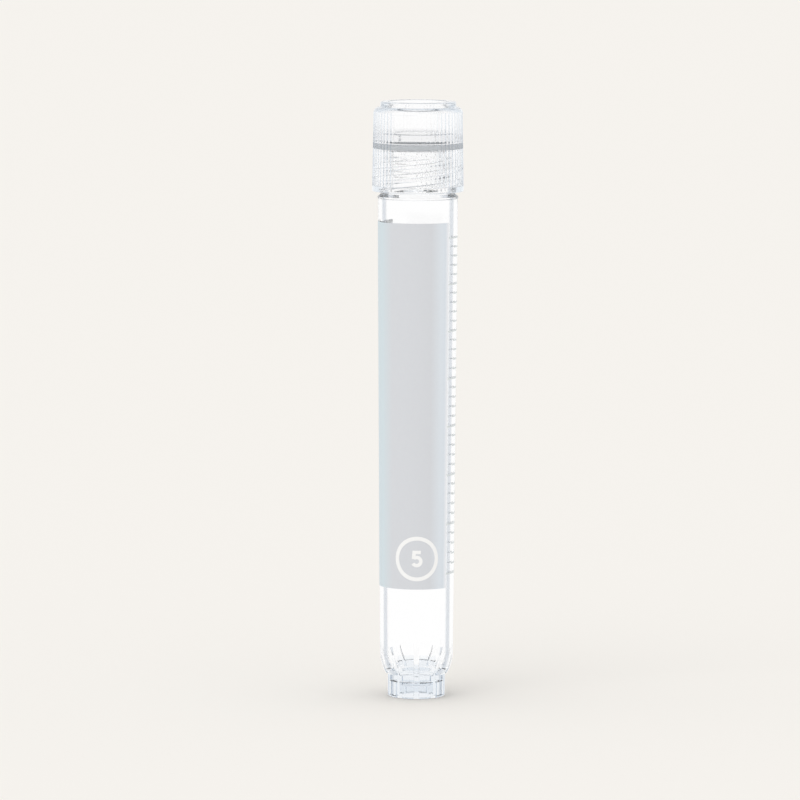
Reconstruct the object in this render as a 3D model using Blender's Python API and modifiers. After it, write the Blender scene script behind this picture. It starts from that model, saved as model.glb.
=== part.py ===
"""Self-standing screw-cap cryogenic tube, 12.5 mm across and 92 mm tall with its cap on.

The tube stands on its star foot at the origin, +Z up, with the middle of its front at -Y. Angles round
the tube are bearings: 0 degrees is the front, and they grow counter-clockwise seen from above, so
+90 degrees is +X. Thread, ribs, foot and collar all share the Z axis.
"""

import math

import bmesh
import bpy
from mathutils import Matrix, Vector

MM = 0.001

# Tube wall
TUBE_HEIGHT = 84.55 * MM
BODY_RADIUS = 6.12 * MM
WALL = 0.92 * MM
DRAFT = math.radians(0.4)
RIM_ROUND = 0.18 * MM

# Collar bead under the cap
NECK_LENGTH = 7.25 * MM
COLLAR_PROUD = 0.1 * MM
COLLAR_HALF_THICKNESS = 0.2 * MM

# Neck and its outside thread
NECK_RADIUS = 5.7 * MM
NECK_CHAMFER = 0.4 * MM
THREAD_STARTS = 2
THREAD_LEAD = 4.0 * MM
THREAD_DEPTH = 0.3 * MM
THREAD_ROOT_WIDTH = 1.0 * MM
THREAD_CREST_WIDTH = 0.5 * MM
THREAD_TOP_DROP = 0.84 * MM
THREAD_BASE_RISE = 0.9 * MM
THREAD_TOP_BEARING = math.radians(0.0)
THREAD_FADE = math.radians(40.0)
THREAD_END_SHARE = 0.15
THREAD_BITE = 0.15 * MM
THREAD_SEGMENTS = 36

# Round bottom of the tube and its foot
DOME_START = 6.8 * MM
DOME_CURVATURE = 6.0 * MM
BORE_DOME_HEIGHT = 7.0 * MM
BORE_DOME_POWER = 2.8
FLOOR_THICKNESS = 1.9 * MM
FOOT_HEIGHT = 3.6 * MM
FOOT_RADIUS = 4.42 * MM
FOOT_EDGE = 0.35 * MM
FOOT_CAVITY_RADIUS = 2.92 * MM
FOOT_CAVITY_SIDE = 2.3 * MM
FOOT_CAVITY_CENTRE = 1.4 * MM

# Star of flutes round the foot
FLUTE_COUNT = 10
FLUTE_WIDTH = 0.85 * MM
FLUTE_DEPTH = 0.55 * MM
FLUTE_TIP_HEIGHT = 7.1 * MM
FLUTE_RAMP_DROP = 0.3 * MM

# Seal washer
SEAT_GAP = 0.2 * MM
WASHER_THICKNESS = 0.7 * MM
WASHER_CLEARANCE = 0.3 * MM
WASHER_HOLE_RADIUS = 4.2 * MM
WASHER_EDGE = 0.12 * MM

# Cap
THREAD_CLEARANCE = 0.15 * MM
FLANK_CLEARANCE = 0.15 * MM
CAP_THREAD_ROOT_WIDTH = 0.84 * MM
CAP_THREAD_CREST_WIDTH = 0.4 * MM
CAP_THREAD_TOP_DROP = 1.15 * MM
CAP_THREAD_BASE_RISE = 0.8 * MM
CAP_TO_COLLAR = 0.7 * MM
SKIRT_BOTTOM_RADIUS = 7.04 * MM
SKIRT_TOP_RADIUS = 6.85 * MM
SKIRT_EDGE = 0.2 * MM
DISC_THICKNESS = 1.35 * MM
RECESS_DEPTH = 5.0 * MM
RECESS_RADIUS = 4.65 * MM
RECESS_FILLET = 0.3 * MM
RING_HEIGHT = 0.8 * MM
RING_RADIUS = 5.83 * MM
RING_EDGE = 0.25 * MM
SHOULDER_DROP = 0.85 * MM
BOSS_CLEARANCE = 0.2 * MM
BOSS_DEPTH = 1.35 * MM
BOSS_EDGE = 0.2 * MM

# Grip of the cap: fine ribs in three groups, with a smooth sunk panel between them
RIB_PITCH = math.radians(6.0)
RIB_GROOVE_DEPTH = 0.25 * MM
RIB_GROOVE_FLOOR = math.radians(1.8)
RIB_GROOVE_MOUTH = math.radians(3.4)
RIB_BAND = 0.9 * MM
RIB_RUN_OUT = 0.12 * MM
PANEL_COUNT = 3
PANEL_PITCHES = 6
PANEL_RIGHT_BEARING = math.radians(0.0)

# Printed writing area
WRITING_BOTTOM = 17.25 * MM
WRITING_TO_COLLAR = 3.5 * MM
WRITING_START_BEARING = math.radians(-132.0)
WRITING_FACETS = 31
WRITING_THICKNESS = 0.1 * MM
WRITING_GAP = 0.05 * MM

# Fineness of the model
TURN_STEPS = 60
ARC_STEPS = 3
BEAD_STEPS = 4
DOME_STEPS = 6
MERGE_DISTANCE = 0.000001
CUTTER_REACH = 1.5 * MM

# Heights that follow from the sizes above
COLLAR_HEIGHT = TUBE_HEIGHT - NECK_LENGTH
COLLAR_BOTTOM = COLLAR_HEIGHT - COLLAR_HALF_THICKNESS
COLLAR_TOP = COLLAR_HEIGHT + COLLAR_HALF_THICKNESS
BORE_FLOOR = FOOT_CAVITY_CENTRE + FLOOR_THICKNESS
BORE_DOME_TOP = BORE_FLOOR + BORE_DOME_HEIGHT
WASHER_BOTTOM = TUBE_HEIGHT + SEAT_GAP
WASHER_TOP = WASHER_BOTTOM + WASHER_THICKNESS
DISC_BOTTOM = WASHER_TOP + SEAT_GAP
RECESS_FLOOR = DISC_BOTTOM + DISC_THICKNESS
CAP_TOP = RECESS_FLOOR + RECESS_DEPTH
RING_BASE = CAP_TOP - RING_HEIGHT
RIB_TOP = RING_BASE - SHOULDER_DROP
CAP_BOTTOM = COLLAR_TOP + CAP_TO_COLLAR
RIB_BOTTOM = CAP_BOTTOM + RIB_BAND
WRITING_TOP = COLLAR_BOTTOM - WRITING_TO_COLLAR

# Radii and widths that follow from the sizes above
CREST_RADIUS = NECK_RADIUS + THREAD_DEPTH
CAP_WALL_RADIUS = CREST_RADIUS + THREAD_CLEARANCE
CAP_CREST_RADIUS = NECK_RADIUS + THREAD_CLEARANCE
WASHER_RADIUS = CAP_WALL_RADIUS - WASHER_CLEARANCE
BOSS_RADIUS = WASHER_HOLE_RADIUS - BOSS_CLEARANCE
FRONT = math.radians(-90.0)


def body_radius(z):
    """Outside radius of the drafted tube wall at height z."""
    return BODY_RADIUS - (COLLAR_BOTTOM - z) * math.tan(DRAFT)


def bore_radius(z):
    """Inside radius of the tube at height z, one wall inside the drafted outside."""
    return body_radius(z) - WALL


def arc(centre_r, centre_z, radius_r, radius_z, start_deg, end_deg, steps):
    """Points of an elliptic arc in a turned profile, both ends included."""
    points = []
    for step in range(steps + 1):
        angle = math.radians(start_deg + (end_deg - start_deg) * step / steps)
        points.append((centre_r + radius_r * math.cos(angle), centre_z + radius_z * math.sin(angle)))
    return points


def fillet(centre_r, centre_z, radius, start_deg, end_deg):
    """Points of a small round edge in a turned profile."""
    return arc(centre_r, centre_z, radius, radius, start_deg, end_deg, ARC_STEPS)


def material(name, colour, roughness, transmission):
    """A plastic: its colour, its roughness and how much light it lets through."""
    plastic = bpy.data.materials.new(name)
    plastic.use_nodes = True
    shader = plastic.node_tree.nodes["Principled BSDF"]
    shader.inputs["Base Color"].default_value = (*colour, 1.0)
    shader.inputs["Roughness"].default_value = roughness
    shader.inputs["Metallic"].default_value = 0.0
    shader.inputs["Transmission Weight"].default_value = transmission
    return plastic


def add_object(name, mesh, collection, plastic=None):
    """A new object for a mesh, with its material."""
    thing = bpy.data.objects.new(name, mesh)
    collection.objects.link(thing)
    if plastic is not None:
        mesh.materials.append(plastic)
    return thing


def finish_bmesh(name, bm):
    """A mesh from a bmesh, with its normals turned outwards."""
    bmesh.ops.recalc_face_normals(bm, faces=bm.faces)
    mesh = bpy.data.meshes.new(name)
    bm.to_mesh(mesh)
    bm.free()
    return mesh


def profile_mesh(name, points, closed):
    """A turned profile as a chain of edges in the XZ plane."""
    mesh = bpy.data.meshes.new(name)
    edges = [(i, i + 1) for i in range(len(points) - 1)]
    if closed:
        edges.append((len(points) - 1, 0))
    mesh.from_pydata([(r, 0.0, z) for r, z in points], edges, [])
    return mesh


def turn(thing, steps=TURN_STEPS, angle=math.tau):
    """Turn an object's profile about the Z axis."""
    screw = thing.modifiers.new("Turn", "SCREW")
    screw.axis = "Z"
    screw.angle = angle
    screw.steps = steps
    screw.render_steps = steps
    screw.use_merge_vertices = True
    screw.merge_threshold = MERGE_DISTANCE
    screw.use_smooth_shade = True
    return screw


def combine(thing, tool, operation):
    """Join a guide solid to an object, or cut it away."""
    boolean = thing.modifiers.new(tool.name, "BOOLEAN")
    boolean.operation = operation
    boolean.solver = "EXACT"
    boolean.object = tool


def add_tool(name, mesh, collection):
    """A guide or cutter: drawn as wires and left out of renders."""
    tool = add_object(name, mesh, collection)
    tool.hide_render = True
    tool.display_type = "WIRE"
    return tool


def thread_fade(travel, total):
    """How much of its depth a thread has after an angle of travel: both ends run out."""
    share = min(travel, total - travel) / THREAD_FADE
    return THREAD_END_SHARE + (1.0 - THREAD_END_SHARE) * min(1.0, share)


def thread_mesh(name, wall_radius, crest_radius, root_width, crest_width, top, base, offset):
    """The starts of a right-hand thread as closed ridges that bite into the wall.

    The ridges' middle lies on the helix that passes the top bearing at the neck thread's top, moved
    by offset along the axis. They run from height base up to height top. A crest radius below the
    wall radius makes an inside thread.
    """
    rise = crest_radius - wall_radius
    bite_share = THREAD_BITE / abs(rise)
    root_radius = wall_radius - rise * bite_share
    helix_top = TUBE_HEIGHT - THREAD_TOP_DROP + offset
    total = (top - base) / THREAD_LEAD * math.tau
    steps = max(2, round(total / math.tau * THREAD_SEGMENTS))
    bm = bmesh.new()
    for start in range(THREAD_STARTS):
        first = THREAD_TOP_BEARING + FRONT + start * math.tau / THREAD_STARTS
        first -= (helix_top - base) / THREAD_LEAD * math.tau
        rings = []
        for step in range(steps + 1):
            travel = total * step / steps
            share = thread_fade(travel, total)
            height = base + travel / math.tau * THREAD_LEAD
            half_crest = crest_width * share / 2
            half_root = half_crest + (root_width - crest_width) * (1.0 + bite_share) * share / 2
            section = [
                (root_radius, height - half_root),
                (wall_radius + rise * share, height - half_crest),
                (wall_radius + rise * share, height + half_crest),
                (root_radius, height + half_root),
            ]
            turned = Matrix.Rotation(first + travel, 4, "Z")
            rings.append([bm.verts.new(turned @ Vector((r, 0.0, z))) for r, z in section])
        for ring, following in zip(rings, rings[1:]):
            for i in range(len(ring)):
                j = (i + 1) % len(ring)
                bm.faces.new((ring[i], ring[j], following[j], following[i]))
        bm.faces.new(rings[0])
        bm.faces.new(rings[-1])
    return finish_bmesh(name, bm)


def extrude_outline(bm, outline, shift):
    """Close an outline as a face and pull it along shift; returns the far end's points."""
    face = bm.faces.new([bm.verts.new(point) for point in outline])
    pulled = bmesh.ops.extrude_face_region(bm, geom=[face])["geom"]
    far = [item for item in pulled if isinstance(item, bmesh.types.BMVert)]
    bmesh.ops.translate(bm, verts=far, vec=shift)
    return far


def flute_cutters(name):
    """Upright slots round the foot: their floor slopes out to the wall at the top, so the mould
    draws straight down."""
    foot_floor = FOOT_RADIUS - FLUTE_DEPTH
    ramp_start = FOOT_HEIGHT - FLUTE_RAMP_DROP
    outside = BODY_RADIUS + CUTTER_REACH
    outline = [
        (foot_floor, -CUTTER_REACH),
        (outside, -CUTTER_REACH),
        (outside, FLUTE_TIP_HEIGHT),
        (body_radius(FLUTE_TIP_HEIGHT), FLUTE_TIP_HEIGHT),
        (foot_floor, ramp_start),
    ]
    bm = bmesh.new()
    for flute in range(FLUTE_COUNT):
        turned = Matrix.Rotation(FRONT + flute * math.tau / FLUTE_COUNT, 4, "Z")
        corners = [turned @ Vector((r, -FLUTE_WIDTH / 2, z)) for r, z in outline]
        extrude_outline(bm, corners, turned @ Vector((0.0, FLUTE_WIDTH, 0.0)))
    return finish_bmesh(name, bm)


def grip_cutter(bm, floor_start, floor_end, mouth_start, mouth_end, facets):
    """One groove or panel of the cap's grip, tapered as the skirt is."""
    bottom_floor = SKIRT_BOTTOM_RADIUS - RIB_GROOVE_DEPTH
    mouth = SKIRT_BOTTOM_RADIUS + CUTTER_REACH
    outline = []
    for i in range(facets + 1):
        angle = FRONT + floor_start + (floor_end - floor_start) * i / facets
        outline.append((bottom_floor * math.cos(angle), bottom_floor * math.sin(angle), RIB_BOTTOM))
    for i in range(facets + 1):
        angle = FRONT + mouth_end + (mouth_start - mouth_end) * i / facets
        outline.append((mouth * math.cos(angle), mouth * math.sin(angle), RIB_BOTTOM))
    rise = RIB_TOP + RIB_RUN_OUT - RIB_BOTTOM
    far = extrude_outline(bm, outline, (0.0, 0.0, rise))
    draw_in = (SKIRT_TOP_RADIUS - RIB_GROOVE_DEPTH) / bottom_floor
    bmesh.ops.scale(bm, verts=far, vec=(draw_in, draw_in, 1.0))


def grip_cutters(name):
    """Grooves that leave the cap's ribs standing, and the smooth panels between the groups."""
    bm = bmesh.new()
    margin = (RIB_PITCH - RIB_GROOVE_MOUTH) / 2
    flare = RIB_GROOVE_MOUTH - RIB_GROOVE_FLOOR
    third = math.tau / PANEL_COUNT
    panel_angle = PANEL_PITCHES * RIB_PITCH
    grooves = int((third - panel_angle) / RIB_PITCH + 0.5)
    for panel in range(PANEL_COUNT):
        right = PANEL_RIGHT_BEARING + panel * third
        left = right - panel_angle
        grip_cutter(bm, left + margin + flare, right - margin - flare, left + margin - flare,
                    right - margin + flare, PANEL_PITCHES)
        for groove in range(grooves):
            middle = right + (groove + 0.5) * RIB_PITCH
            grip_cutter(bm, middle - RIB_GROOVE_FLOOR / 2, middle + RIB_GROOVE_FLOOR / 2,
                        middle - RIB_GROOVE_MOUTH, middle + RIB_GROOVE_MOUTH, 1)
    return finish_bmesh(name, bm)


def bore_dome():
    """The flattened round bottom of the bore, from its middle out to the straight wall."""
    full = bore_radius(BORE_DOME_TOP)
    points = [(0.0, BORE_FLOOR)]
    for step in range(1, DOME_STEPS):
        angle = math.radians(90.0) * step / DOME_STEPS
        r = full * math.sin(angle) ** (2.0 / BORE_DOME_POWER)
        z = BORE_DOME_TOP - BORE_DOME_HEIGHT * math.cos(angle) ** (2.0 / BORE_DOME_POWER)
        points.append((r, z))
    points.append((full, BORE_DOME_TOP))
    return points


def outer_dome():
    """The tube's rounded outside from the straight wall down to the foot."""
    top_radius = body_radius(DOME_START)
    sweep = math.degrees(math.asin((DOME_START - FOOT_HEIGHT) / DOME_CURVATURE))
    return arc(top_radius - DOME_CURVATURE, DOME_START, DOME_CURVATURE, DOME_CURVATURE, 0.0, -sweep,
               DOME_STEPS)


def tube_profile():
    """Half section of the tube: up the bore, over the rim, down the outside and under the foot."""
    bore_top = bore_radius(TUBE_HEIGHT)
    points = bore_dome()
    points += fillet(bore_top + RIM_ROUND, TUBE_HEIGHT - RIM_ROUND, RIM_ROUND, 180.0, 90.0)
    points += fillet(NECK_RADIUS - RIM_ROUND, TUBE_HEIGHT - RIM_ROUND, RIM_ROUND, 90.0, 0.0)
    points += [(NECK_RADIUS, COLLAR_TOP + NECK_CHAMFER)]
    points += arc(BODY_RADIUS, COLLAR_HEIGHT, COLLAR_PROUD, COLLAR_HALF_THICKNESS, 90.0, -90.0,
                  BEAD_STEPS)
    points += outer_dome()
    points += [(FOOT_RADIUS, FOOT_HEIGHT)]
    points += fillet(FOOT_RADIUS - FOOT_EDGE, FOOT_EDGE, FOOT_EDGE, 0.0, -90.0)
    points += [(FOOT_CAVITY_RADIUS, 0.0)]
    cavity_dome = FOOT_CAVITY_SIDE - FOOT_CAVITY_CENTRE
    points += arc(0.0, FOOT_CAVITY_SIDE, FOOT_CAVITY_RADIUS, cavity_dome, 0.0, -90.0, ARC_STEPS)
    return points


def washer_profile():
    """Section of the seal washer, its outer side running down."""
    low = WASHER_BOTTOM + WASHER_EDGE
    high = WASHER_TOP - WASHER_EDGE
    inner = WASHER_HOLE_RADIUS + WASHER_EDGE
    outer = WASHER_RADIUS - WASHER_EDGE
    return [
        (inner, WASHER_TOP), (outer, WASHER_TOP), (WASHER_RADIUS, high), (WASHER_RADIUS, low),
        (outer, WASHER_BOTTOM), (inner, WASHER_BOTTOM), (WASHER_HOLE_RADIUS, low),
        (WASHER_HOLE_RADIUS, high),
    ]


def cap_profile():
    """Half section of the cap: out over the recess floor, up to the ring, down the skirt and back up
    inside to the boss."""
    points = [(0.0, RECESS_FLOOR)]
    points += fillet(RECESS_RADIUS - RECESS_FILLET, RECESS_FLOOR + RECESS_FILLET, RECESS_FILLET,
                     -90.0, 0.0)
    points += fillet(RECESS_RADIUS + RING_EDGE, CAP_TOP - RING_EDGE, RING_EDGE, 180.0, 90.0)
    points += fillet(RING_RADIUS - RING_EDGE, CAP_TOP - RING_EDGE, RING_EDGE, 90.0, 0.0)
    points += arc(RING_RADIUS, RIB_TOP, SKIRT_TOP_RADIUS - RING_RADIUS, SHOULDER_DROP, 90.0, 0.0,
                  ARC_STEPS)
    points += fillet(SKIRT_BOTTOM_RADIUS - SKIRT_EDGE, CAP_BOTTOM + SKIRT_EDGE, SKIRT_EDGE, 0.0, -90.0)
    points += fillet(CAP_WALL_RADIUS + SKIRT_EDGE, CAP_BOTTOM + SKIRT_EDGE, SKIRT_EDGE, -90.0, -180.0)
    points += [(CAP_WALL_RADIUS, DISC_BOTTOM), (BOSS_RADIUS, DISC_BOTTOM)]
    points += fillet(BOSS_RADIUS - BOSS_EDGE, DISC_BOTTOM - BOSS_DEPTH + BOSS_EDGE, BOSS_EDGE, 0.0, -90.0)
    points += [(0.0, DISC_BOTTOM - BOSS_DEPTH)]
    return points


def build_tube(parts, tools, plastic):
    """Tube body: turned wall, outside thread on the neck, flutes cut round the foot."""
    tube = add_object("tube_body", profile_mesh("tube_body", tube_profile(), False), parts, plastic)
    turn(tube)
    top = TUBE_HEIGHT - THREAD_TOP_DROP
    base = COLLAR_TOP + THREAD_BASE_RISE
    thread = thread_mesh("neck_thread", NECK_RADIUS, CREST_RADIUS, THREAD_ROOT_WIDTH,
                         THREAD_CREST_WIDTH, top, base, 0.0)
    combine(tube, add_tool("neck_thread", thread, tools), "UNION")
    combine(tube, add_tool("foot_flutes", flute_cutters("foot_flutes"), tools), "DIFFERENCE")
    return tube


def build_washer(parts, plastic):
    """Flat seal washer between the tube's rim and the cap's disc, round the cap's boss."""
    washer = add_object("seal_washer", profile_mesh("seal_washer", washer_profile(), True), parts,
                        plastic)
    turn(washer)
    return washer


def cap_thread_offset():
    """How far the cap's thread lies under the neck's: its upper flank bears on the neck's lower one."""
    reach = CREST_RADIUS - CAP_CREST_RADIUS
    neck_slope = (THREAD_ROOT_WIDTH - THREAD_CREST_WIDTH) / THREAD_DEPTH
    neck_half = (THREAD_CREST_WIDTH + neck_slope * reach) / 2
    return -(neck_half + CAP_THREAD_CREST_WIDTH / 2 + FLANK_CLEARANCE)


def build_cap(parts, tools, plastic):
    """Screw cap: turned shell with a recess and a boss, inside thread, grooves that leave ribs."""
    cap = add_object("screw_cap", profile_mesh("screw_cap", cap_profile(), False), parts, plastic)
    turn(cap)
    top = WASHER_BOTTOM - CAP_THREAD_TOP_DROP
    base = CAP_BOTTOM + CAP_THREAD_BASE_RISE
    thread = thread_mesh("cap_thread", CAP_WALL_RADIUS, CAP_CREST_RADIUS, CAP_THREAD_ROOT_WIDTH,
                         CAP_THREAD_CREST_WIDTH, top, base, cap_thread_offset())
    combine(cap, add_tool("cap_thread", thread, tools), "UNION")
    combine(cap, add_tool("grip_grooves", grip_cutters("grip_grooves"), tools), "DIFFERENCE")
    return cap


def build_writing_area(parts, plastic):
    """Printed panel: a thin skin that follows the drafted wall over part of a turn."""
    points = [(body_radius(WRITING_TOP) + WRITING_GAP, WRITING_TOP),
              (body_radius(WRITING_BOTTOM) + WRITING_GAP, WRITING_BOTTOM)]
    panel = add_object("writing_area", profile_mesh("writing_area", points, False), parts, plastic)
    panel.rotation_euler.z = FRONT + WRITING_START_BEARING
    turn(panel, WRITING_FACETS, math.tau * WRITING_FACETS / TURN_STEPS)
    skin = panel.modifiers.new("Print thickness", "SOLIDIFY")
    skin.thickness = WRITING_THICKNESS
    skin.offset = 1.0
    skin.use_even_offset = True
    return panel


def main():
    """Build the whole tube."""
    for thing in list(bpy.data.objects):
        bpy.data.objects.remove(thing, do_unlink=True)
    parts = bpy.data.collections.new("cryogenic_tube")
    tools = bpy.data.collections.new("cutters")
    bpy.context.scene.collection.children.link(parts)
    bpy.context.scene.collection.children.link(tools)
    clear_tube = material("Clear polypropylene, tube", (0.87, 0.91, 0.93), 0.12, 0.9)
    clear_cap = material("Clear polypropylene, cap", (0.88, 0.91, 0.94), 0.15, 0.9)
    silicone = material("Grey silicone", (0.62, 0.65, 0.68), 0.5, 0.0)
    print_ink = material("Pale grey print", (0.68, 0.7, 0.73), 0.6, 0.0)
    build_tube(parts, tools, clear_tube)
    build_writing_area(parts, print_ink)
    build_washer(parts, silicone)
    build_cap(parts, tools, clear_cap)


main()
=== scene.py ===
"""Self-standing cryogenic tube with its screw cap on, dressed for the photograph's view.

The tube stands on its star foot at the origin, +Z up, front at -Y. Angles round the tube are bearings in
degrees: 0 is the front, and they grow counter-clockwise seen from above, so +90 is +X. All lengths are
metres, written as millimetres times MM.
"""

import logging
import math
from dataclasses import dataclass, field
from enum import Enum

import bmesh
import bpy
import numpy as np
from mathutils import Euler, Matrix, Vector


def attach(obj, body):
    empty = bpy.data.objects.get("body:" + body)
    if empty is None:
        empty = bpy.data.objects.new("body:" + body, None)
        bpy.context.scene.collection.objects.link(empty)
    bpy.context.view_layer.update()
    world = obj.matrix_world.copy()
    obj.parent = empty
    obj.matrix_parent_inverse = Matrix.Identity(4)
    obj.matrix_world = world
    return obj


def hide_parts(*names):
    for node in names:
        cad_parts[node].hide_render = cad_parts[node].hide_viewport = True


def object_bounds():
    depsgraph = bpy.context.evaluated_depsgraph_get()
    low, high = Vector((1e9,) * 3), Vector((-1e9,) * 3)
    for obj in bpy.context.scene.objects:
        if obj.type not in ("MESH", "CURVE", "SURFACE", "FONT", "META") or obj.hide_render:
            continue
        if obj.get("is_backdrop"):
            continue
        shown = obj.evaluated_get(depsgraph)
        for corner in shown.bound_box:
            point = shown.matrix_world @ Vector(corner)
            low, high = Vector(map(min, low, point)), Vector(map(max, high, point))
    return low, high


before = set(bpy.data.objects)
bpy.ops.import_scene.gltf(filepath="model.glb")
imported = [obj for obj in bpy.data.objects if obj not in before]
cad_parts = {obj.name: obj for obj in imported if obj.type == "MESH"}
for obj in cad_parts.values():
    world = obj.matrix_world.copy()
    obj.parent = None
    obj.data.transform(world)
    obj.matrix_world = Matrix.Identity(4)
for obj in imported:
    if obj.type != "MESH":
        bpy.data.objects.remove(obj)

MM = 0.001
LOG = logging.getLogger("cryogenic_tube")

# Length of one ring of a Wave Texture at scale 1.
WAVE_LENGTH = math.tau / 20.0

Point = tuple[float, float]
Flat = tuple[np.ndarray, list[tuple[int, ...]]]
Value = float | bpy.types.NodeSocket


class Body(Enum):
    """The CAD bodies that pieces ride on."""

    TUBE = "tube"
    SEAL = "seal"
    CAP = "cap"


class Slot(Enum):
    """The record's material slots."""

    TUBE_PLASTIC = "tube_plastic"
    CAP_PLASTIC = "cap_plastic"
    SEAL_SILICONE = "seal_silicone"
    WRITING_PRINT = "writing_print"


def linear(colour: str) -> tuple[float, float, float, float]:
    """Turn an sRGB hex colour into linear values.

    Args:
        colour: six hex digits after a hash.

    Returns:
        Red, green, blue and an alpha of 1.
    """
    parts = [int(colour[i:i + 2], 16) / 255 for i in (1, 3, 5)]
    made = [part / 12.92 if part <= 0.04045 else ((part + 0.055) / 1.055) ** 2.4 for part in parts]
    return (made[0], made[1], made[2], 1.0)


def feed(made: bpy.types.Node, links: dict) -> None:
    """Fill a node's inputs.

    Args:
        made: the node.
        links: input name or index to a value, or to the output socket that feeds it.
    """
    for key, value in links.items():
        socket = made.inputs[key]
        if isinstance(value, bpy.types.NodeSocket):
            made.id_data.links.new(value, socket)
        else:
            socket.default_value = value


def node(tree: bpy.types.NodeTree, kind: str, links: dict | None = None,
         **settings: object) -> bpy.types.Node:
    """Add a node with its settings and the values or sockets of its inputs.

    Args:
        tree: the tree that gets the node.
        kind: the node's type name.
        links: input name or index to a value, or to the output socket that feeds it.
        settings: the node's own properties.

    Returns:
        The new node.
    """
    made = tree.nodes.new(kind)
    for name, value in settings.items():
        setattr(made, name, value)
    feed(made, links or {})
    return made


@dataclass
class Sums:
    """Writes arithmetic into a shader or geometry tree."""

    tree: bpy.types.NodeTree

    def do(self, operation: str, *values: Value) -> bpy.types.NodeSocket:
        """Add one Math node.

        Args:
            operation: the Math node's operation.
            values: its inputs, as numbers or sockets.

        Returns:
            The result's socket.
        """
        made = node(self.tree, "ShaderNodeMath", dict(enumerate(values)), operation=operation)
        return made.outputs[0]

    def within(self, value: Value, low: Value, high: Value) -> bpy.types.NodeSocket:
        """1 where a value lies between two bounds, 0 elsewhere."""
        return self.do("MULTIPLY", self.do("GREATER_THAN", value, low), self.do("LESS_THAN", value, high))

    def smooth(self, value: Value) -> bpy.types.NodeSocket:
        """Ease a share of 0 to 1 in and out, held to that range."""
        made = node(self.tree, "ShaderNodeMapRange", {"Value": value}, interpolation_type="SMOOTHSTEP")
        return made.outputs[0]

    def clamp(self, value: Value) -> bpy.types.NodeSocket:
        """Hold a value to 0 to 1."""
        return node(self.tree, "ShaderNodeClamp", {"Value": value}).outputs[0]

    def radius(self, x: Value, y: Value) -> bpy.types.NodeSocket:
        """Distance from the Z axis."""
        return self.do("SQRT", self.do("MULTIPLY_ADD", x, x, self.do("MULTIPLY", y, y)))

    def bearing(self, x: Value, y: Value) -> bpy.types.NodeSocket:
        """Angle round the Z axis in radians, from -pi to pi, 0 at the front."""
        return self.do("ARCTAN2", x, self.do("MULTIPLY", y, -1.0))


# ---- Finishes


def new_finish(name: str) -> tuple[bpy.types.Material, Sums, bpy.types.Node, bpy.types.NodeSocket]:
    """Start a node material.

    Args:
        name: the material's name.

    Returns:
        The material, the arithmetic of its tree, its shader and its Object coordinates.
    """
    made = bpy.data.materials.new(name)
    made.use_nodes = True
    tree = made.node_tree
    where = node(tree, "ShaderNodeTexCoord").outputs["Object"]
    return made, Sums(tree), tree.nodes["Principled BSDF"], where


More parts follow.
